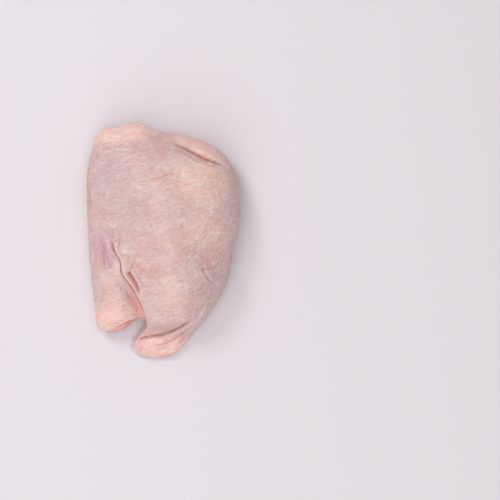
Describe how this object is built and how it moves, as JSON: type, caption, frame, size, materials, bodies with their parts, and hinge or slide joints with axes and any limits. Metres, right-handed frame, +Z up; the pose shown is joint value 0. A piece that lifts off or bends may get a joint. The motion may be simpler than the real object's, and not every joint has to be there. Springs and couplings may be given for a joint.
{
  "type": "raw chicken thigh",
  "caption": "Raw chicken thigh on the bone with its skin on, lying skin side up, with one skin fold, a cut end and bare meat beneath.",
  "frame": {"origin": "on the surface the thigh lies on, under the middle of its box", "axes": "+Y towards the hip end, +Z up out of the skin side"},
  "size_m": [0.0834, 0.129, 0.0366],
  "materials": {
    "skin": "moist satin",
    "meat": "wet gloss",
    "fat": "moist satin",
    "gristle": "wet gloss"
  },
  "bodies": {
    "root": {"chicken_thigh": "skin"}
  },
  "joints": []
}
